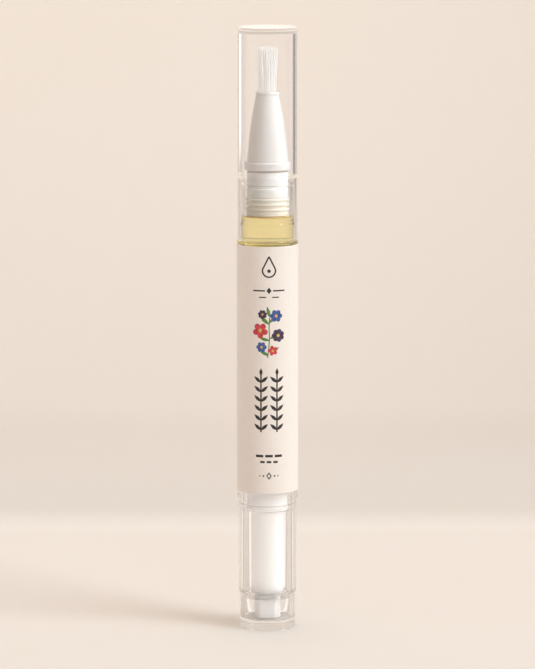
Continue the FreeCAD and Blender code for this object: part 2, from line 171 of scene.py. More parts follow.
# Mould skin: fine grain, slow flow waves along the pen, and rare hairline scuffs
# a noise is (scale, detail, roughness), without the scale where that is an input
skinLook = {"scales": {"Grain Scale": 4000.0, "Flow Scale": 260.0}, "grain": (3.0, 0.6), "flow": (1.0, 0.4),
            "flowStretch": (1.0, 1.0, 0.12), "scuff": (2600.0, 2.0, 0.55), "scuffTurn": (0.35, 0.6, 0.2),
            "scuffStretch": (1.0, 1.0, 0.05), "scuffSpan": (0.66, 0.74)}
mouldSkin, groupIn, groupOut = newGroup("mouldSkin", skinLook["scales"], ("Grain", "Flow", "Scuff"))
stretch = addNode(mouldSkin, "ShaderNodeVectorMath", operation="MULTIPLY")
fillInputs(mouldSkin, stretch, {0: groupIn["Vector"], 1: skinLook["flowStretch"]})
turnScuff = addNode(mouldSkin, "ShaderNodeMapping")
fillInputs(mouldSkin, turnScuff, {"Vector": groupIn["Vector"], "Rotation": skinLook["scuffTurn"],
                                  "Scale": skinLook["scuffStretch"]})
scuffTex = noise(mouldSkin, turnScuff.outputs[0], *skinLook["scuff"])
fillInputs(mouldSkin, groupOut, {
    "Grain": noise(mouldSkin, groupIn["Vector"], groupIn["Grain Scale"], *skinLook["grain"]),
    "Flow": noise(mouldSkin, stretch.outputs[0], groupIn["Flow Scale"], *skinLook["flow"]),
    "Scuff": remap(mouldSkin, scuffTex, *skinLook["scuffSpan"]),
})

# Fibre: matted paper fibres and soft blotches for paper and print
fibreLook = {"scales": {"Fibre Scale": 5200.0}, "fibre": (4.0, 0.65), "tangle": 1.4, "blotch": (1500.0, 2.0, 0.6),
             "span": (0.3, 0.7), "smooth": 0.42, "bump": 0.15}
fibre, groupIn, groupOut = newGroup("fibre", fibreLook["scales"], ("Fibre", "Blotch"))
fillInputs(fibre, groupOut, {
    "Fibre": noise(fibre, groupIn["Vector"], groupIn["Fibre Scale"], *fibreLook["fibre"], fibreLook["tangle"]),
    "Blotch": noise(fibre, groupIn["Vector"], *fibreLook["blotch"]),
})


# Finishes
clearWall = {"scales": {"Flow Scale": 260.0}, "ior": 1.5, "roughness": (0.012, 0.09), "rippleDepth": 0.0004,
             "trappedGlow": (3.2, 3.8), "trappedGlowTone": "efe1d2"}
mould = {"scales": {"Grain Scale": 4000.0, "Flow Scale": 260.0}, "grain": (0.25, 0.75), "smoother": 0.06,
         "rougher": 0.08, "bump": 0.12, "bumpDepth": 0.00005}


def clearPlastic(name, tint, flowTint, shade, ripple, pale):
    mat, tree, shader, spot = newMaterial(name)
    skin = placeGroup(tree, mouldSkin, spot, clearWall["scales"])
    # painted glow: where light runs on inside a wall, the wall glows pale instead of going dark
    path = addNode(tree, "ShaderNodeLightPath")
    trappedGlow = remap(tree, path.outputs["Glossy Depth"], *clearWall["trappedGlow"], 0.0, pale)
    fillInputs(tree, shader, {
        "Base Color": blendColour(tree, skin["Flow"], tint, flowTint),
        "Roughness": remap(tree, skin["Scuff"], 0.0, 1.0, *clearWall["roughness"]),
        "IOR": clearWall["ior"],
        "Transmission Weight": 1.0,
        "Emission Color": blendColour(tree, trappedGlow, (0, 0, 0, 1), srgb(clearWall["trappedGlowTone"])),
        "Emission Strength": 1.0,
        "Normal": bump(tree, skin["Flow"], ripple, clearWall["rippleDepth"]),
    })
    lightThrough(mat, shade)
    return mat


def mouldedPlastic(name, light, dark, rough, soft, softReach=0.0006):
    mat, tree, shader, spot = newMaterial(name)
    skin = placeGroup(tree, mouldSkin, spot, mould["scales"])
    fillInputs(tree, shader, {
        "Base Color": blendColour(tree, skin["Flow"], srgb(dark), srgb(light)),
        "Roughness": remap(tree, skin["Grain"], *mould["grain"], rough - mould["smoother"], rough + mould["rougher"]),
        "Subsurface Weight": soft,
        "Subsurface Radius": (1.0, 1.0, 1.0),
        "Subsurface Scale": softReach,
        "Normal": bump(tree, skin["Grain"], mould["bump"], mould["bumpDepth"]),
    })
    return mat


def fibreFinish(name, light, dark, rough, bumpDepth, specular=0.5):
    mat, tree, shader, spot = newMaterial(name)
    grain = placeGroup(tree, fibre, spot, fibreLook["scales"])
    fillInputs(tree, shader, {
        "Base Color": blendColour(tree, remap(tree, grain["Blotch"], *fibreLook["span"]), srgb(dark), srgb(light)),
        "Roughness": remap(tree, grain["Fibre"], *fibreLook["span"], fibreLook["smooth"], rough),
        "Specular IOR Level": specular,
        "Normal": bump(tree, grain["Fibre"], fibreLook["bump"], bumpDepth),
    })
    return mat


noTint = (1.0, 1.0, 1.0, 1)
# pale is the strength of the painted glow where light runs on inside a wall
capClear = clearPlastic("capClear", tint=noTint, flowTint=(0.98, 0.978, 0.975, 1), shade=noTint,
                        ripple=0.008, pale=0.5)
barrelClear = clearPlastic("barrelClear", tint=(1.0, 1.0, 0.998, 1), flowTint=(0.98, 0.978, 0.972, 1), shade=noTint,
                           ripple=0.008, pale=0.5)
knobClear = clearPlastic("knobClear", tint=(0.975, 0.97, 0.972, 1), flowTint=(0.945, 0.94, 0.942, 1),
                         shade=(0.64, 0.63, 0.61, 1), ripple=0.01, pale=0.3)
nozzleWhite = mouldedPlastic("nozzleWhite", "e8e2dc", "e3dcd6", rough=0.32, soft=0.15)
sleeveWhite = mouldedPlastic("sleeveWhite", "f8f5f1", "f3f0eb", rough=0.42, soft=0.3, softReach=0.001)
bushWhite = mouldedPlastic("bushWhite", "f8f5f1", "f3efea", rough=0.45, soft=0.3, softReach=0.001)
gearWhite = mouldedPlastic("gearWhite", "ebe7df", "dfdad1", rough=0.4, soft=0.05)
sealSilicone = mouldedPlastic("sealSilicone", "d6d1c8", "c6c0b5", rough=0.55, soft=0.2)
feedNatural = mouldedPlastic("feedNatural", "ece9e2", "e0dcd3", rough=0.35, soft=0.3)
bristleNylon = mouldedPlastic("bristleNylon", "fffaf3", "fdf4ea", rough=0.45, soft=0.5, softReach=0.0001)
print("plastic finishes made")


# Shape helpers, with sizes in millimetres

def roundVerts(bm, verts, size, segments):
    bmesh.ops.bevel(bm, geom=verts, offset=size, offset_type="OFFSET", segments=segments, profile=0.5,
                    affect="VERTICES", clamp_overlap=True, material=-1)


def vertsOf(geom):
    return [g for g in geom if isinstance(g, bmesh.types.BMVert)]


def closeSkin(bm):
    # merges what meets and turns the faces outwards
    bmesh.ops.remove_doubles(bm, verts=bm.verts[:], dist=mergeReach)
    bmesh.ops.recalc_face_normals(bm, faces=bm.faces[:])


def turned(corners, steps=128, arcs=4, support=0.06):
    # a section of (radius, height, rounding) corners, spun round the pen's axis
    bm = bmesh.new()
    ring = [bm.verts.new((c[0] * mm, 0, c[1] * mm)) for c in corners]
    for a, b in zip(ring, ring[1:]):
        bm.edges.new((a, b))
    if min(c[0] for c in corners) > 0:
        bm.edges.new((ring[-1], ring[0]))
    for size in sorted({c[2] for c in corners if len(c) > 2}):
        roundVerts(bm, [v for v, c in zip(ring, corners) if len(c) > 2 and c[2] == size], size * mm, arcs)
    # short runs beside each corner keep the shading of the long runs true
    for edge in bm.edges[:]:
        length = edge.calc_length()
        if length > 6 * support * mm:
            near = bmesh.utils.edge_split(edge, edge.verts[0], support * mm / length)[1]
            rest = max(near.link_edges, key=lambda e: e.calc_length())
            bmesh.utils.edge_split(rest, rest.other_vert(near), support * mm / rest.calc_length())
    bmesh.ops.spin(bm, geom=bm.verts[:] + bm.edges[:], cent=(0, 0, 0), axis=(0, 0, 1), angle=2 * math.pi,
                   steps=steps, use_merge=True)
    closeSkin(bm)
    return bm


def beadCorners(foot, crest, low, length, rounds):
    # a small ring that rises and falls over a third of its length each
    heights = (low, low + length / 3, low + length * 2 / 3, low + length)
    return list(zip((foot, crest, crest, foot), heights, rounds))


def arcBetween(start, end, bulge, count):
    # points of a shallow arc from start to end, both left out, standing out by bulge at its middle
    (r0, z0), (r1, z1) = start, end
    length = math.hypot(r1 - r0, z1 - z0)
    outR, outZ = (z1 - z0) / length, (r0 - r1) / length
    points = []
    for i in range(1, count):
        t = i / count
        rise = 4 * bulge * t * (1 - t)
        points.append((r0 + (r1 - r0) * t + outR * rise, z0 + (z1 - z0) * t + outZ * rise))
    return points


def flattened(bm, reach, flat, below=math.inf):
    # presses the low verts within reach of the axis onto two flats that face along Y
    for v in bm.verts:
        if v.co.z < below * mm and math.hypot(v.co.x, v.co.y) < reach * mm:
            v.co.y = max(-flat * mm, min(flat * mm, v.co.y))


def stamp(target, part, matrix):
    # adds a small part to a larger mesh
    bmesh.ops.transform(part, matrix=matrix, verts=part.verts[:])
    spare = bpy.data.meshes.new("spare")
    part.to_mesh(spare)
    part.free()
    target.from_mesh(spare)
    bpy.data.meshes.remove(spare)


def makeObject(name, bm, material):
    mesh = bpy.data.meshes.new(name)
    bm.to_mesh(mesh)
    bm.free()
    mesh.shade_smooth()
    mesh.materials.append(material)
    made = bpy.data.objects.new(name, mesh)
    scene.collection.objects.link(made)
    return made


def makePiece(name, bm, material, body, slotName, *nodes, sharp=32):
    piece = makeObject(name, bm, material)
    piece.data.set_sharp_from_angle(angle=math.radians(sharp))
    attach(piece, body)
    if nodes:
        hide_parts(*nodes)
    return piece


# Cap
cap = {"mouth": 78.02, "top": 120.0, "ceiling": 118.9, "stepLow": 90.4, "stepTop": 91.1, "radius": 5.93,
       "topRadius": 5.89, "skirtBore": 5.37, "bore": 5.08, "topBore": 5.04, "topRound": 0.38, "ceilingRound": 0.12,
       "stepRound": 0.3, "stepFootRound": 0.1, "mouthRound": 0.05}
makePiece("capShell", turned([
    (0, cap["ceiling"]),
    (cap["topBore"], cap["ceiling"], cap["ceilingRound"]),
    (cap["bore"], cap["stepTop"], cap["stepRound"]),
    (cap["skirtBore"], cap["stepLow"], cap["stepFootRound"]),
    (cap["skirtBore"], cap["mouth"], cap["mouthRound"]),
    (cap["radius"], cap["mouth"], cap["mouthRound"]),
    (cap["topRadius"], cap["top"], cap["topRound"]),
    (0, cap["top"]),
], arcs=6), capClear, "cap", "clear_plastic", "cap_shell")
print("cap made")

# Barrel with its shoulder, neck and two beads
barrel = {"tail": 28.0, "shoulder": 78.0, "roof": 77.0, "slope": 76.3, "radius": 6.0, "bore": 5.1, "neck": 5.2,
          "neckBore": 4.35, "rim": 90.3, "bead": 5.32, "beads": (80.4, 88.9), "beadLength": 1.3,
          "beadRounds": (0.1, 0.1, 0.1, 0.04), "tailRound": 0.05, "shoulderRound": 0.08, "creaseRound": 0.05,
          "rimRound": 0.04, "mouthRound": 0.12, "innerRound": 0.1}
section = [
    (barrel["bore"], barrel["tail"]),
    (barrel["radius"], barrel["tail"], barrel["tailRound"]),
    (barrel["radius"], barrel["shoulder"], barrel["shoulderRound"]),
    (barrel["neck"], barrel["shoulder"], barrel["creaseRound"]),
]
for low in barrel["beads"]:
    section += beadCorners(barrel["neck"], barrel["bead"], low, barrel["beadLength"], barrel["beadRounds"])
section += [
    (barrel["neck"], barrel["rim"], barrel["rimRound"]),
    (barrel["neckBore"], barrel["rim"], barrel["mouthRound"]),
    (barrel["neckBore"], barrel["roof"], barrel["innerRound"]),
    (barrel["bore"], barrel["slope"], barrel["innerRound"]),
]
makePiece("barrelShell", turned(section), barrelClear, "barrel", "clear_plastic", "barrel")
print("barrel made")

# Oil: a column above the piston and the filled neck, made as two pieces
oil = {"low": 44.63, "split": 76.2, "splitGap": 0.02, "top": 82.9, "columnRadius": 5.11, "shoulderRadius": 5.85,
       "shoulder": 77.85, "neckRadius": 5.1, "topRound": 0.05, "curl": 0.1, "curlSlope": 0.8, "curlRound": 0.2,
       "tones": ("fff2aa", "fff5b5"), "meniscusShadeTone": "f2c45c", "meniscusShadeSpan": (0.0826, 0.08275),
       "cloud": (180.0, 2.0, 0.5), "ior": 1.46, "shade": "fbeab4"}
oilGold, tree, shader, spot = newMaterial("oilGold")
cloud = noise(tree, spot, *oil["cloud"])
paleOil = blendColour(tree, cloud, srgb(oil["tones"][0]), srgb(oil["tones"][1]))
# painted shade: a deeper gold band near the top of the oil, where its surface is seen at a flat angle
meniscusShade = remap(tree, spotAxes(tree, spot)["Z"], *oil["meniscusShadeSpan"])
fillInputs(tree, shader, {
    "Base Color": blendColour(tree, meniscusShade, paleOil, srgb(oil["meniscusShadeTone"])),
    "Transmission Weight": 1.0,
    "IOR": oil["ior"],
    "Specular IOR Level": 0.0,
    "Roughness": 0.0,
})
lightThrough(oilGold, srgb(oil["shade"]))
oilColumn = makePiece("oilColumn", turned([
    (0, oil["low"]),
    (oil["columnRadius"], oil["low"]),
    (oil["columnRadius"], oil["split"]),
    (0, oil["split"]),
], steps=96), oilGold, "barrel", "nail_oil", "oil")
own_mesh(oilColumn)
makePiece("oilNeck", turned([
    (0, oil["split"] + oil["splitGap"]),
    (oil["shoulderRadius"], oil["split"] + oil["splitGap"]),
    (oil["shoulderRadius"], oil["shoulder"]),
    (oil["neckRadius"], oil["shoulder"]),
    (oil["neckRadius"], oil["top"], oil["topRound"]),
    (oil["neckRadius"] - oil["curl"], oil["top"] - oil["curl"] * oil["curlSlope"], oil["curlRound"]),
    (0, oil["top"] - oil["curl"]),
]), oilGold, "barrel", "nail_oil", "oil")

# the top of the oil: an opaque disc painted gold stands in for the look of its clear surface, which shows as a deep
# gold band
oilTop = {"low": 82.84, "middle": 82.88, "edge": 82.94, "radius": 4.34, "lip": 0.3, "edgeRound": 0.02,
          "lipRound": 0.2}
paintedOilTop = mouldedPlastic("paintedOilTop", "f8d886", "f0cb70", rough=0.3, soft=0.0)
makePiece("oilSurface", turned([
    (0, oilTop["low"]),
    (oilTop["radius"], oilTop["low"], oilTop["edgeRound"]),
    (oilTop["radius"], oilTop["edge"], oilTop["edgeRound"]),
    (oilTop["radius"] - oilTop["lip"], oilTop["middle"], oilTop["lipRound"]),
    (0, oilTop["middle"]),
]), paintedOilTop, "barrel", "nail_oil", "oil")
print("oil made")

# Plug with two wide rings and three thin ribs, with painted warm light at its foot, as of light through the oil
plug = {"bottom": 83.8, "foot": 83.06, "footRadius": 4.15, "top": 91.6, "radius": 3.79, "ring": 4.07, "rib": 4.33,
        "bore": 2.94, "hole": 0.62, "floor": 0.9, "ribs": (84.12, 85.07, 86.02), "ribLength": 0.4,
        "rings": ((86.7, 88.4), (89.1, 91.6)), "edgeRound": 0.1, "creaseRound": 0.05, "ringRound": 0.12,
        "ringCrease": 0.04, "oilLightSpan": (0.0845, 0.0885), "oilLightTone": "f1e5d2", "shade": (0.85, 0.8, 0.7, 1)}
plugPale = mouldedPlastic("plugPale", "fbf5ee", "f6efe7", rough=0.35, soft=0.2, softReach=0.0008)
tree = plugPale.node_tree
shader = nodeOf(tree, "BSDF_PRINCIPLED")
ownColour = shader.inputs["Base Color"].links[0].from_socket
height = spotAxes(tree, nodeOf(tree, "TEX_COORD").outputs["Object"])["Z"]
# painted light: the plug's foot is tinted warm, as by light that comes through the oil
oilLightTint = remap(tree, height, *plug["oilLightSpan"], 1.0, 0.0)
fillInputs(tree, shader, {"Base Color": blendColour(tree, oilLightTint, ownColour, srgb(plug["oilLightTone"]))})
lightThrough(plugPale, plug["shade"])
section = [
    (plug["hole"], plug["foot"]),
    (plug["footRadius"], plug["foot"], plug["edgeRound"]),
    (plug["footRadius"], plug["bottom"], plug["edgeRound"]),
    (plug["radius"], plug["bottom"], plug["creaseRound"]),
]
for low in plug["ribs"]:
    section += [
        (plug["radius"], low, plug["creaseRound"]),
        (plug["rib"], low, plug["edgeRound"]),
        (plug["rib"], low + plug["ribLength"], plug["edgeRound"]),
        (plug["radius"], low + plug["ribLength"], plug["creaseRound"]),
    ]
for low, high in plug["rings"]:
    section += [
        (plug["radius"], low, plug["ringCrease"]),
        (plug["ring"], low, plug["ringRound"]),
        (plug["ring"], high, plug["ringRound"]),
    ]
    if high < plug["top"]:
        section.append((plug["radius"], high, plug["ringCrease"]))
section += [
    (plug["bore"], plug["top"]),
    (plug["bore"], plug["bottom"] + plug["floor"]),
    (plug["hole"], plug["bottom"] + plug["floor"]),
]
makePiece("neckPlug", turned(section, arcs=3), plugPale, "barrel", "plug_plastic", "neck_plug")

# Nozzle: spigot, groove, flange and a slightly swollen cone with a rim
nozzle = {"bottom": 86.4, "spigot": 2.92, "bore": 1.92, "groove": 3.72, "grooveLow": 91.6, "flangeLow": 92.0,
          "flangeTop": 93.5, "flange": 4.53, "base": 4.09, "tip": 2.285, "bulge": 0.22, "coneRuns": 8, "rim": 2.345,
          "rimLow": 106.6, "rimStep": 0.06, "top": 107.3, "socket": 1.735, "socketLow": 100.9, "hole": 0.62,
          "wall": 1.0, "grooveRound": 0.08, "flangeLowRound": 0.15, "flangeTopRound": 0.18, "baseRound": 0.1,
          "tipRound": 0.05, "rimLowRound": 0.04, "rimTopRound": 0.15, "socketRound": 0.1}
makePiece("nozzleCone", turned([
    (nozzle["bore"], nozzle["bottom"]),
    (nozzle["spigot"], nozzle["bottom"]),
    (nozzle["spigot"], nozzle["grooveLow"]),
    (nozzle["groove"], nozzle["grooveLow"]),
    (nozzle["groove"], nozzle["flangeLow"], nozzle["grooveRound"]),
    (nozzle["flange"], nozzle["flangeLow"], nozzle["flangeLowRound"]),
    (nozzle["flange"], nozzle["flangeTop"], nozzle["flangeTopRound"]),
    (nozzle["base"], nozzle["flangeTop"], nozzle["baseRound"]),
    *arcBetween((nozzle["base"], nozzle["flangeTop"]), (nozzle["tip"], nozzle["rimLow"]), nozzle["bulge"],
                nozzle["coneRuns"]),
    (nozzle["tip"], nozzle["rimLow"], nozzle["tipRound"]),
    (nozzle["rim"], nozzle["rimLow"] + nozzle["rimStep"], nozzle["rimLowRound"]),
    (nozzle["rim"], nozzle["top"], nozzle["rimTopRound"]),
    (nozzle["socket"], nozzle["top"], nozzle["socketRound"]),
    (nozzle["socket"], nozzle["socketLow"]),
    (nozzle["hole"], nozzle["socketLow"]),
    (nozzle["hole"], nozzle["socketLow"] - nozzle["wall"]),
    (nozzle["bore"], nozzle["socketLow"] - nozzle["wall"] - nozzle["bore"]),
]), nozzleWhite, "barrel", "white_plastic", "nozzle")
print("plug and nozzle made")

# Brush: fine filaments that flare a little above the nozzle
brush = {"count": 560, "seed": 11, "thick": 0.045, "sides": 4, "runs": 6, "root": 104.5, "mouth": 107.3,
         "tip": 116.28, "rootRadius": 1.64, "tipRadius": 2.06, "turnStep": 2.399963, "turnPlay": 0.5, "crown": 0.4,
         "ragged": 2.4, "stray": 0.22, "leanShare": 0.4, "curlShare": 0.3, "outerCalm": 0.75, "taper": 0.55}
dice = random.Random(brush["seed"])
bm = bmesh.new()
for i in range(brush["count"]):
    share = math.sqrt((i + 0.5) / brush["count"])
    turn = i * brush["turnStep"] + dice.uniform(-brush["turnPlay"], brush["turnPlay"])
    out = Vector((math.cos(turn), math.sin(turn), 0))
    top = brush["tip"] - brush["crown"] * share ** 2 - dice.random() ** 2 * brush["ragged"]
    lean = Vector((dice.gauss(0, 1), dice.gauss(0, 1), 0)) * brush["stray"] * brush["leanShare"]
    curl = Vector((dice.gauss(0, 1), dice.gauss(0, 1), 0)) * brush["stray"] * brush["curlShare"]
    hair = bmesh.new()
    tips = bmesh.ops.create_circle(hair, cap_ends=True, segments=brush["sides"], radius=brush["thick"])["verts"]
    here = out * share * brush["rootRadius"] + Vector((0, 0, brush["root"]))
    bmesh.ops.translate(hair, verts=tips, vec=here)
    ends = hair.faces[:]
    for run in range(1, brush["runs"] + 1):
        z = brush["root"] + (top - brush["root"]) * run / brush["runs"]
        t = max(0.0, (z - brush["mouth"]) / (brush["tip"] - brush["mouth"]))
        spread = brush["rootRadius"] + (brush["tipRadius"] - brush["rootRadius"]) * t
        sway = (lean * t * t + curl * math.sin(math.pi * t)) * (1 - brush["outerCalm"] * share)
        there = out * share * spread + sway + Vector((0, 0, z))
        # with its edges given, the face that each run starts from doesn't stay inside the hair
        grown = bmesh.ops.extrude_face_region(hair, geom=ends + ends[0].edges[:])["geom"]
        ends = [g for g in grown if isinstance(g, bmesh.types.BMFace)]
        tips = vertsOf(grown)
        bmesh.ops.translate(hair, verts=tips, vec=there - here)
        here = there
    bmesh.ops.scale(hair, verts=tips, vec=(brush["taper"], brush["taper"], 1), space=Matrix.Translation(-here))
    bmesh.ops.recalc_face_normals(hair, faces=hair.faces[:])
    stamp(bm, hair, Matrix.Scale(mm, 4))
bristles = makePiece("bristles", bm, bristleNylon, "barrel", "bristle_nylon", "bristle_tuft", sharp=80)
bristles.visible_shadow = False  # the fine filaments let light through to each other
print("brush made, faces:", len(bristles.data.polygons))

# Knob with its rim, bore, snap groove and web
knob = {"spigotLow": 6.1, "low": 7.2, "webTop": 7.3, "top": 26.4, "rimTop": 27.9, "radius": 5.775, "rim": 6.0,
        "bore": 4.05, "spigot": 4.58, "groove": 4.23, "grooveLow": 24.0, "grooveTop": 25.1, "tailHole": 2.62,
        "tailReach": 2.64, "tailFlat": 2.22, "edgeRound": 0.1, "creaseRound": 0.05, "stepRound": 0.06,
        "grooveRound": 0.08, "webRound": 0.25}
bm = turned([
    (knob["tailHole"], knob["spigotLow"]),
    (knob["spigot"], knob["spigotLow"], knob["edgeRound"]),
    (knob["spigot"], knob["low"], knob["creaseRound"]),
    (knob["radius"], knob["low"], knob["edgeRound"]),
    (knob["radius"], knob["top"], knob["stepRound"]),
    (knob["rim"], knob["top"], knob["edgeRound"]),
    (knob["rim"], knob["rimTop"], knob["stepRound"]),
    (knob["bore"], knob["rimTop"], knob["stepRound"]),
    (knob["bore"], knob["grooveTop"], knob["grooveRound"]),
    (knob["groove"], knob["grooveTop"], knob["grooveRound"]),
    (knob["groove"], knob["grooveLow"], knob["grooveRound"]),
    (knob["bore"], knob["grooveLow"], knob["grooveRound"]),
    (knob["bore"], knob["webTop"], knob["webRound"]),
    (knob["tailHole"], knob["webTop"]),
], arcs=5)
flattened(bm, knob["tailReach"], knob["tailFlat"])
makePiece("knobShell", bm, knobClear, "knob", "clear_plastic", "knob_shell")

# Tail cup
cup = {"radius": 5.6, "bore": 4.6, "top": 7.24, "floor": 1.9, "baseRound": 0.2, "topRound": 0.12, "boreRound": 0.05,
       "floorRound": 0.3}
makePiece("tailCup", turned([
    (0, 0),
    (cup["radius"], 0, cup["baseRound"]),
    (cup["radius"], cup["top"], cup["topRound"]),
    (cup["bore"], cup["top"], cup["boreRound"]),
    (cup["bore"], cup["floor"], cup["floorRound"]),
    (0, cup["floor"]),
], arcs=6), knobClear, "knob", "clear_plastic", "tail_cup")

# Drive sleeve with its flattened tail and the seat for the pawl ring
sleeve = {"bottom": 2.0, "shoulder": 7.32, "seatLow": 29.9, "top": 36.0, "radius": 3.25, "seat": 3.1, "tail": 2.6,
          "tailReach": 2.61, "tailTop": 7.33, "tailFlat": 2.2, "bore": 2.45, "boreLow": 8.12, "tailBore": 1.55,
          "tailBoreLow": 2.8, "key": 1.42, "keyLow": 33.0, "edgeRound": 0.1, "shoulderRound": 0.15}
bm = turned([
    (0, sleeve["bottom"]),
    (sleeve["tail"], sleeve["bottom"], sleeve["edgeRound"]),
    (sleeve["tail"], sleeve["shoulder"]),
    (sleeve["radius"], sleeve["shoulder"], sleeve["shoulderRound"]),
    (sleeve["radius"], sleeve["seatLow"], sleeve["edgeRound"]),
    (sleeve["seat"], sleeve["seatLow"]),
    (sleeve["seat"], sleeve["top"], sleeve["edgeRound"]),
    (sleeve["key"], sleeve["top"]),
    (sleeve["key"], sleeve["keyLow"]),
    (sleeve["bore"], sleeve["keyLow"]),
    (sleeve["bore"], sleeve["boreLow"]),
    (sleeve["tailBore"], sleeve["boreLow"]),
    (sleeve["tailBore"], sleeve["tailBoreLow"]),
    (0, sleeve["tailBoreLow"]),
])
flattened(bm, sleeve["tailReach"], sleeve["tailFlat"], sleeve["tailTop"])
makePiece("driveSleeve", bm, sleeveWhite, "knob", "white_plastic", "drive_sleeve")

# Tail bush, whose journal shows inside the knob's top
bush = {"journalLow": 23.9, "tail": 28.0, "top": 36.2, "journal": 4.0, "journalBore": 3.45, "bead": 4.18,
        "beadLow": 24.2, "beadLength": 0.7, "beadRounds": (0.05, 0.08, 0.08, 0.05), "radius": 5.08, "seat": 4.42,
        "floor": 29.6, "boreRound": 0.1, "journalRound": 0.12}
makePiece("tailBush", turned([
    (bush["journalBore"], bush["journalLow"], bush["boreRound"]),
    (bush["journal"], bush["journalLow"], bush["journalRound"]),
    *beadCorners(bush["journal"], bush["bead"], bush["beadLow"], bush["beadLength"], bush["beadRounds"]),
    (bush["journal"], bush["tail"]),
    (bush["radius"], bush["tail"]),
    (bush["radius"], bush["top"]),
    (bush["seat"], bush["top"]),
    (bush["seat"], bush["floor"]),
    (bush["journalBore"], bush["floor"]),
]), bushWhite, "barrel", "white_plastic", "tail_bush")
print("knob, cup, sleeve and bush made")

# Label: satin paper wrapped round the barrel, open at the seam
label = {"low": 27.95, "top": 77.3, "inner": 6.01, "outer": 6.09, "gap": 0.12, "seam": 120.0, "steps": 180,
         "shade": (0.65, 0.58, 0.48, 1)}
labelCream = fibreFinish("labelCream", "f6eee5", "f3eae0", rough=0.55, bumpDepth=0.00004, specular=0.35)
lightThrough(labelCream, label["shade"])  # thin paper lets some light in to the oil
bm = bmesh.new()
bm.faces.new([bm.verts.new((r * mm, 0, z * mm)) for r, z in (
    (label["inner"], label["low"]), (label["outer"], label["low"]),
    (label["outer"], label["top"]), (label["inner"], label["top"]))])
seamGap = label["gap"] / label["outer"]
bmesh.ops.spin(bm, geom=bm.verts[:] + bm.edges[:] + bm.faces[:], cent=(0, 0, 0), axis=(0, 0, 1),
               angle=2 * math.pi - seamGap, steps=label["steps"])
closeSkin(bm)
bmesh.ops.rotate(bm, verts=bm.verts[:], cent=(0, 0, 0),
                 matrix=Matrix.Rotation(math.radians(label["seam"]) + seamGap / 2, 3, "Z"))
makePiece("labelWrap", bm, labelCream, "barrel", "label_paper", "label")
print("label made")


# Label print: a plain botanical design, drawn flat in millimetres and wrapped on the paper
inkFilm = {"rough": 0.6, "bumpDepth": 0.00003}
inkBlack = fibreFinish("inkBlack", "35302c", "221e1b", **inkFilm)
inkGreen = fibreFinish("inkGreen", "6f9a45", "44702c", **inkFilm)
inkRed = fibreFinish("inkRed", "e0525a", "b52c38", **inkFilm)
inkBlue = fibreFinish("inkBlue", "5474b4", "2d457f", **inkFilm)
inkPlum = fibreFinish("inkPlum", "55415f", "2b2034", **inkFilm)
inkGold = fibreFinish("inkGold", "e8c76a", "c99a3a", **inkFilm)
drawn = {"leafBelly": 0.4, "leafRound": 0.3, "leafSteps": 5, "dotSteps": 14, "dropSteps": 28, "dropWaist": 0.45}


def flatShape(points):
    part = bmesh.new()
    part.faces.new([part.verts.new((x, y, 0)) for x, y in points])
    return part


def hollow(part, line):
    # leaves a line along the outer edge
    whole = part.faces[:]
    part.normal_update()
    bmesh.ops.inset_region(part, faces=whole, thickness=line, use_even_offset=True, use_boundary=True)
    bmesh.ops.delete(part, geom=whole, context="FACES_ONLY")
    return part


def leafShape(length, width):
    belly = length * drawn["leafBelly"]
    part = flatShape(((0, 0), (width / 2, belly), (0, length), (-width / 2, belly)))
    roundVerts(part, [v for v in part.verts if v.co.x], length * drawn["leafRound"], drawn["leafSteps"])
    return part


def dotShape(width, height):
    part = bmesh.new()
    bmesh.ops.create_circle(part, cap_ends=True, segments=drawn["dotSteps"], radius=0.5)
    bmesh.ops.scale(part, verts=part.verts[:], vec=(width, height, 1))
    return part


def barShape(width, height):
    return flatShape([(x * width / 2, y * height / 2) for x, y in ((-1, -1), (1, -1), (1, 1), (-1, 1))])


def lozengeShape(width, height):
    return flatShape(((0, -height / 2), (width / 2, 0), (0, height / 2), (-width / 2, 0)))


def dropShape(width, height):
    part = bmesh.new()
    bmesh.ops.create_circle(part, cap_ends=True, segments=drawn["dropSteps"], radius=width / 2)
    # the upper half is drawn up and in to a point
    for v in part.verts:
        if v.co.y > 0:
            rise = v.co.y / (width / 2)
            v.co.y *= 1 + (height / width * 2 - 2) * rise ** 2
            v.co.x *= 1 - drawn["dropWaist"] * rise ** 2
    return part


def stemShape(points, width):
    part = bmesh.new()
    left = [part.verts.new((x - width / 2, y, 0)) for x, y in points]
    right = [part.verts.new((x + width / 2, y, 0)) for x, y in points]
    for i in range(len(points) - 1):
        part.faces.new((left[i], right[i], right[i + 1], left[i + 1]))
    return part


emblem = {"centre": 0.3, "cut": 0.3, "cutReach": 1e-5, "thick": 0.004, "lift": 0.001,
          "drop": 72.6, "dropSize": (2.9, 4.3), "dropLine": 0.3, "dot": 72.5, "dotSize": 0.7,
          "rule": 68.6, "ruleSize": (2.4, 0.28), "ruleOffset": 2.0, "lozengeSize": (1.0, 1.3),
          "lowRule": 67.3, "lowRuleSize": (1.4, 0.22), "lowRuleOffset": 1.3,
          "columnLow": 40.4, "columnTop": 52.0, "columnOffset": 1.6, "columnWidth": 0.3, "leafRows": 6,
          "leafStart": 0.4, "leafStep": 1.9, "leafLean": 48, "leafSize": (1.9, 0.95), "budSize": (1.5, 0.9),
          "budDrop": 0.3, "foot": 35.6, "footSize": (1.5, 0.5), "footStep": 1.9, "lowFoot": 34.4,
          "lowFootSize": (0.9, 0.42), "lowFootStep": 1.3, "mark": 31.6, "markSize": (1.1, 1.5), "markLine": 0.2,
          "markDots": ((1.1, 0.36), (1.8, 0.26))}


def at(u, v, turn=0.0):
    # a place on the flat label, from the print's own centre line
    return Matrix.Translation((emblem["centre"] + u, v, 0)) @ Matrix.Rotation(math.radians(turn), 4, "Z")


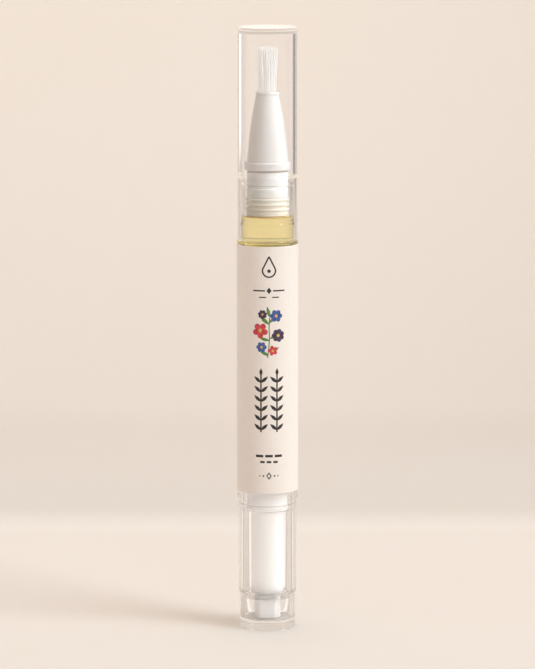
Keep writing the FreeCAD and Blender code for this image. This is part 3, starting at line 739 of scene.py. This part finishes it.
def wrapPrint(name, flat, ink, lift):
    reach = max(abs(v.co.x) for v in flat.verts)
    cut = -reach + emblem["cut"]
    while cut < reach:
        bmesh.ops.bisect_plane(flat, geom=flat.verts[:] + flat.edges[:] + flat.faces[:], dist=emblem["cutReach"],
                               plane_co=(cut, 0, 0), plane_no=(1, 0, 0))
        cut += emblem["cut"]
    raised = bmesh.ops.extrude_face_region(flat, geom=flat.faces[:], use_keep_orig=True)["geom"]
    bmesh.ops.translate(flat, verts=vertsOf(raised), vec=(0, 0, emblem["thick"]))
    bmesh.ops.recalc_face_normals(flat, faces=flat.faces[:])
    for v in flat.verts:
        turn = v.co.x / label["outer"]
        r = label["outer"] + lift + v.co.z
        v.co = Vector((math.sin(turn) * r, -math.cos(turn) * r, v.co.y)) * mm
    makePiece(name, flat, ink, "barrel", "label_paper")


blackInk = bmesh.new()
stamp(blackInk, hollow(dropShape(*emblem["dropSize"]), emblem["dropLine"]), at(0, emblem["drop"]))
stamp(blackInk, dotShape(emblem["dotSize"], emblem["dotSize"]), at(0, emblem["dot"]))
for side in (-1, 1):
    stamp(blackInk, barShape(*emblem["ruleSize"]), at(side * emblem["ruleOffset"], emblem["rule"]))
    stamp(blackInk, barShape(*emblem["lowRuleSize"]), at(side * emblem["lowRuleOffset"], emblem["lowRule"]))
stamp(blackInk, lozengeShape(*emblem["lozengeSize"]), at(0, emblem["rule"]))
for side in (-1, 1):
    u = side * emblem["columnOffset"]
    tall = emblem["columnTop"] - emblem["columnLow"]
    stamp(blackInk, barShape(emblem["columnWidth"], tall), at(u, emblem["columnLow"] + tall / 2))
    for i in range(emblem["leafRows"]):
        v = emblem["columnLow"] + emblem["leafStart"] + i * emblem["leafStep"]
        for lean in (-emblem["leafLean"], emblem["leafLean"]):
            stamp(blackInk, leafShape(*emblem["leafSize"]), at(u, v, lean))
    stamp(blackInk, leafShape(*emblem["budSize"]), at(u, emblem["columnTop"] - emblem["budDrop"]))
for i in (-1, 0, 1):
    stamp(blackInk, barShape(*emblem["footSize"]), at(i * emblem["footStep"], emblem["foot"]))
    stamp(blackInk, barShape(*emblem["lowFootSize"]), at(i * emblem["lowFootStep"], emblem["lowFoot"]))
stamp(blackInk, hollow(lozengeShape(*emblem["markSize"]), emblem["markLine"]), at(0, emblem["mark"]))
for side in (-1, 1):
    for offset, size in emblem["markDots"]:
        stamp(blackInk, dotShape(size, size), at(side * offset, emblem["mark"]))
wrapPrint("printBlack", blackInk, inkBlack, emblem["lift"])

# a leaf is (across, up, turn, length, width) and a blossom (across, up, size, petals), both from the sprig's middle
sprig = {"height": 60.3, "stemWidth": 0.22, "greenLift": 0.002, "blossomLift": 0.004, "heartLift": 0.009,
         "stem": ((-0.3, -5.0), (-0.05, -3.2), (0.1, -1.2), (0.0, 1.0), (0.15, 3.0)),
         "leaves": ((0.0, -4.6, 62, 2.3, 0.95), (0.05, -4.2, -58, 2.4, 1.0), (0.1, -1.6, 75, 2.2, 0.9),
                    (0.1, -1.2, -68, 2.5, 1.0), (0.0, 1.6, 48, 2.5, 1.05), (0.05, 1.9, -44, 2.7, 1.1),
                    (0.15, 3.0, 14, 2.3, 1.0)),
         "petalWidth": 0.78, "petalLength": 0.92, "petalReach": 0.56, "petalLift": 0.0004, "petalTurn": 20,
         "heart": 0.5,
         "blossoms": (("printRed", inkRed, ((-1.75, 0.4, 1.55, 5), (0.75, -3.6, 1.0, 5))),
                      ("printBlue", inkBlue, ((1.45, 3.3, 1.25, 6), (-1.5, -2.9, 1.05, 6))),
                      ("printPlum", inkPlum, ((1.85, -0.6, 1.3, 7), (-1.3, 3.6, 0.9, 7))))}
greenInk = bmesh.new()
stamp(greenInk, stemShape(sprig["stem"], sprig["stemWidth"]), at(0, sprig["height"]))
for u, v, turn, length, width in sprig["leaves"]:
    stamp(greenInk, leafShape(length, width), at(u, sprig["height"] + v, turn))
wrapPrint("printLeaves", greenInk, inkGreen, sprig["greenLift"])

hearts = bmesh.new()
for name, ink, flowers in sprig["blossoms"]:
    petals = bmesh.new()
    for u, v, size, count in flowers:
        for i in range(count):
            petal = dotShape(size * sprig["petalWidth"], size * sprig["petalLength"])
            bmesh.ops.translate(petal, verts=petal.verts[:],
                                vec=(0, size * sprig["petalReach"], i * sprig["petalLift"]))
            stamp(petals, petal, at(u, sprig["height"] + v, i * 360 / count + sprig["petalTurn"] * u))
        stamp(hearts, dotShape(size * sprig["heart"], size * sprig["heart"]), at(u, sprig["height"] + v))
    wrapPrint(name, petals, ink, sprig["blossomLift"])
wrapPrint("printHearts", hearts, inkGold, sprig["heartLift"])
print("label print made")


# Stage: a pale floor that curves up into a wall behind the pen, in metres
stage = {"floor": -0.00003, "wallBack": 0.11, "curve": 0.02, "curveSteps": 16, "side": 3.0, "front": 3.0,
         "height": 1.2}
# each span is (from, to) or (from, to, value before, value after)
paper = {"tones": ("f3ebe2", "f6efe7"), "cloud": (14.0, 3.0, 0.55), "speck": (900.0, 2.0, 0.6), "speckBump": 0.1,
         "speckDepth": 0.0002, "roughness": 0.8, "specular": 0.2, "footShadeTone": "e6ddd3",
         "footShadeSpans": ((0.0003, 0.003), (0.006, 0.026, 1.0, 0.2), (0.03, 0.09, 1.0, 0.0)),
         "outlineTone": "4c4a4a", "outline": (0.03, 0.06, 0.12, 0.3), "lift": (0.002, 0.12, 0.038, 0.1),
         "floorLift": (0.0005, 0.005, 0.012, 0.0), "cornerShadeSide": (0.01, 0.06, 0.0, 0.034),
         "cornerShadeFoot": (0.004, 0.02), "layerLift": (8.5, 9.5, 0.0, 0.18), "ceiling": (0.123, 0.127, 0.0, 0.35),
         "ringIn": (0.009, 0.021, 0.0, 2.0), "ringOut": (0.065, 0.085, 1.0, 0.0), "layerFill": (6.5, 7.5, 0.0, 0.4),
         "warm": (1.0, 0.8, 0.55, 1), "white": (1.0, 0.97, 0.94, 1), "whiteSpan": (0.0, 0.1)}
# the cards and the strips are painted reflections, seen only by rays through the clear pieces
# turn is (from, to, soft edge) in radians round the pen's axis, from straight behind it
cards = {"white": {"turn": (-0.8, -0.42, 0.03), "side": (-0.045, -0.047), "low": (0.078, 0.086), "glow": 0.9},
         "dark": {"turn": (0.58, 0.9, 0.03), "side": (0.066, 0.068), "low": (0.066, 0.074), "tone": "8f98ab"},
         "top": (0.1105, 0.1115, 1.0, 0.0)}
strips = {"pale": (0.36, 0.5, 0.03), "dark": (0.56, 0.7, 0.03), "top": (0.02, 0.03, 1.0, 0.0), "glow": 0.35,
          "shade": 0.55, "tone": "6a6665"}


def stageFinish(name):
    mat, tree, shader, spot = newMaterial(name)
    x, y, z = spotAxes(tree, spot)
    path = addNode(tree, "ShaderNodeLightPath").outputs
    through, glossy = path["Is Transmission Ray"], path["Is Glossy Ray"]
    cloud = noise(tree, spot, *paper["cloud"])
    speck = noise(tree, spot, *paper["speck"])
    clean = blendColour(tree, cloud, srgb(paper["tones"][0]), srgb(paper["tones"][1]))
    # painted shade: the foot of the wall is a little darker
    foot = combine(tree, "MULTIPLY", *[remap(tree, z, *span) for span in paper["footShadeSpans"]])
    colour = blendColour(tree, foot, clean, srgb(paper["footShadeTone"]))
    # rays that a clear wall has turned by an inner reflection see painted shade and painted reflections, which draw
    # the outlines of the clear pieces
    bounced = combine(tree, "MULTIPLY", through, remap(tree, path["Glossy Depth"], 0.0, 1.0))
    # they see a painted reflection of a white card, which glows, at the left and of a dark one at the right
    turn = combine(tree, "ARCTAN2", x, y)
    whiteCardReflection, darkCardReflection = [
        combine(tree, "MULTIPLY", bounced, band(tree, turn, *card["turn"]), remap(tree, x, *card["side"]),
                remap(tree, z, *card["low"]), remap(tree, z, *cards["top"]))
        for card in (cards["white"], cards["dark"])]
    colour = blendColour(tree, darkCardReflection, colour, srgb(cards["dark"]["tone"]))
    # painted reflections: a pale, glowing strip and a dark strip on the floor at each side behind the pen, seen only
    # in the clear knob
    near = combine(tree, "MULTIPLY", through, remap(tree, z, *strips["top"]))
    side = combine(tree, "ABSOLUTE", turn, 0.0)
    paleStrip, darkStrip = [
        combine(tree, "MULTIPLY", near, band(tree, side, *strips[key])) for key in ("pale", "dark")]
    colour = blendColour(tree, combine(tree, "MULTIPLY", darkStrip, strips["shade"]), colour, srgb(strips["tone"]))
    # and painted grey shade on the paper elsewhere
    outline = combine(tree, "MULTIPLY", bounced, remap(tree, z, *paper["outline"]))
    colour = blendColour(tree, outline, colour, srgb(paper["outlineTone"]))
    # a painted warm glow on what the camera and the clear pieces see of the paper, with painted shade where it is
    # less at the foot and right of the wall, and painted light where it is a little more through the many walls round
    # the oil
    seen = combine(tree, "ADD", path["Is Camera Ray"], glossy, through, clamp=True)
    corner = combine(tree, "MULTIPLY", remap(tree, x, *paper["cornerShadeSide"]), remap(tree, z, *paper["cornerShadeFoot"]))
    lift = combine(tree, "ADD", remap(tree, z, *paper["lift"]), remap(tree, z, *paper["floorLift"]),
                   remap(tree, path["Transmission Depth"], *paper["layerLift"]))
    lift = combine(tree, "MULTIPLY", seen, combine(tree, "SUBTRACT", lift, corner),
                   combine(tree, "SUBTRACT", 1.0, outline))
    # painted reflection: reflections also see a light, glowing ceiling
    mirrored = combine(tree, "SUBTRACT", glossy, through, clamp=True)
    ceiling = combine(tree, "MULTIPLY", mirrored, remap(tree, z, *paper["ceiling"]))
    # painted light: a glow on the floor by the pen and on the paper, seen only by diffuse rays through clear walls,
    # lights what lies inside the knob and the neck
    inner = combine(tree, "MULTIPLY", through, remap(tree, path["Diffuse Depth"], 0.0, 1.0))
    away = addNode(tree, "ShaderNodeVectorMath", operation="LENGTH")
    tree.links.new(spot, away.inputs[0])
    ring = combine(tree, "MULTIPLY", remap(tree, away.outputs["Value"], *paper["ringIn"]),
                   remap(tree, away.outputs["Value"], *paper["ringOut"]))
    fill = combine(tree, "ADD", ring, remap(tree, path["Transmission Depth"], *paper["layerFill"]))
    white = combine(tree, "ADD", ceiling, combine(tree, "MULTIPLY", whiteCardReflection, cards["white"]["glow"]),
                    combine(tree, "MULTIPLY", inner, fill), combine(tree, "MULTIPLY", paleStrip, strips["glow"]))
    fillInputs(tree, shader, {
        "Base Color": colour,
        "Roughness": paper["roughness"],
        "Specular IOR Level": paper["specular"],
        "Emission Color": blendColour(tree, remap(tree, white, *paper["whiteSpan"]), paper["warm"], paper["white"]),
        "Emission Strength": combine(tree, "ADD", lift, white),
        "Normal": bump(tree, speck, paper["speckBump"], paper["speckDepth"]),
    })
    # the sweep has one side, so that the pen can be seen from behind it
    clearWhere(tree, addNode(tree, "ShaderNodeNewGeometry").outputs["Backfacing"])
    return mat


studioPaper = stageFinish("studioPaper")
bm = bmesh.new()
line = [bm.verts.new((-stage["side"], y, z)) for y, z in (
    (-stage["front"], stage["floor"]), (stage["wallBack"], stage["floor"]), (stage["wallBack"], stage["height"]))]
for a, b in zip(line, line[1:]):
    bm.edges.new((a, b))
roundVerts(bm, [line[1]], stage["curve"], stage["curveSteps"])
swept = bmesh.ops.extrude_edge_only(bm, edges=bm.edges[:])["geom"]
bmesh.ops.translate(bm, verts=vertsOf(swept), vec=(2 * stage["side"], 0, 0))
bmesh.ops.recalc_face_normals(bm, faces=bm.faces[:])
if sum(face.normal.z for face in bm.faces) < 0:
    bmesh.ops.reverse_faces(bm, faces=bm.faces[:])
studioSweep = makeObject("studioSweep", bm, studioPaper)

# the floor goes on behind the wall for the views from behind
bm = bmesh.new()
bmesh.ops.create_grid(bm, x_segments=1, y_segments=1, size=0.5)
backStart = stage["wallBack"] - stage["curve"]
bmesh.ops.scale(bm, verts=bm.verts[:], vec=(2 * stage["side"], stage["front"] - backStart, 1))
bmesh.ops.translate(bm, verts=bm.verts[:], vec=(0, (stage["front"] + backStart) / 2, stage["floor"]))
studioBack = makeObject("studioBack", bm, studioPaper)
print("stage made")

# Finishes for the inner CAD nodes that stay
for node, finish in (("thread_nut", bushWhite), ("ratchet_ring", gearWhite), ("pawl_ring", gearWhite),
                     ("screw_rod", gearWhite), ("piston", bushWhite), ("front_seal", sealSilicone),
                     ("rear_seal", sealSilicone), ("brush_root", bristleNylon), ("feed_tube", feedNatural)):
    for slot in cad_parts[node].material_slots:
        slot.material = finish
print("inner nodes finished")

# Light
lights = {"keyFrom": (2.08, -1.04, 1.5), "keyPower": 1.74, "keySpread": 33.0, "keyColour": (0.82, 0.92, 1.0),
          "worldColour": (0.95, 0.85, 0.8, 1), "worldStrength": 0.62, "worldSeen": 0.95}
keyData = bpy.data.lights.new("keyLamp", "SUN")
keyData.energy = lights["keyPower"]
keyData.angle = math.radians(lights["keySpread"])
keyData.color = lights["keyColour"]
keyLamp = bpy.data.objects.new("keyLamp", keyData)
keyLamp.location = lights["keyFrom"]
keyLamp.rotation_euler = Vector(lights["keyFrom"]).to_track_quat("Z", "Y").to_euler()
scene.collection.objects.link(keyLamp)
world = bpy.data.worlds.new("studioWorld")
world.use_nodes = True
tree = world.node_tree
path = addNode(tree, "ShaderNodeLightPath").outputs
seen = combine(tree, "ADD", path["Is Camera Ray"], path["Is Glossy Ray"], path["Is Transmission Ray"], clamp=True)
fillInputs(tree, tree.nodes["Background"], {
    "Color": lights["worldColour"],
    "Strength": remap(tree, seen, 0.0, 1.0, lights["worldStrength"], lights["worldSeen"]),
})
scene.world = world

# Camera
view = {"aim": 0.059, "elevation": 8.8, "distance": 0.7239, "lens": 196.4, "sensor": 36.0, "nearest": 0.01}
tilt = math.radians(view["elevation"])
cameraData = bpy.data.cameras.new("photoCamera")
cameraData.lens = view["lens"]
cameraData.sensor_width = view["sensor"]
cameraData.clip_start = view["nearest"]
camera = bpy.data.objects.new("photoCamera", cameraData)
place = Vector((0, -math.cos(tilt) * view["distance"], view["aim"] + math.sin(tilt) * view["distance"]))
camera.location = place
camera.rotation_euler = (Vector((0, 0, view["aim"])) - place).to_track_quat("-Z", "Y").to_euler()
scene.collection.objects.link(camera)
scene.camera = camera
print("light and camera set")
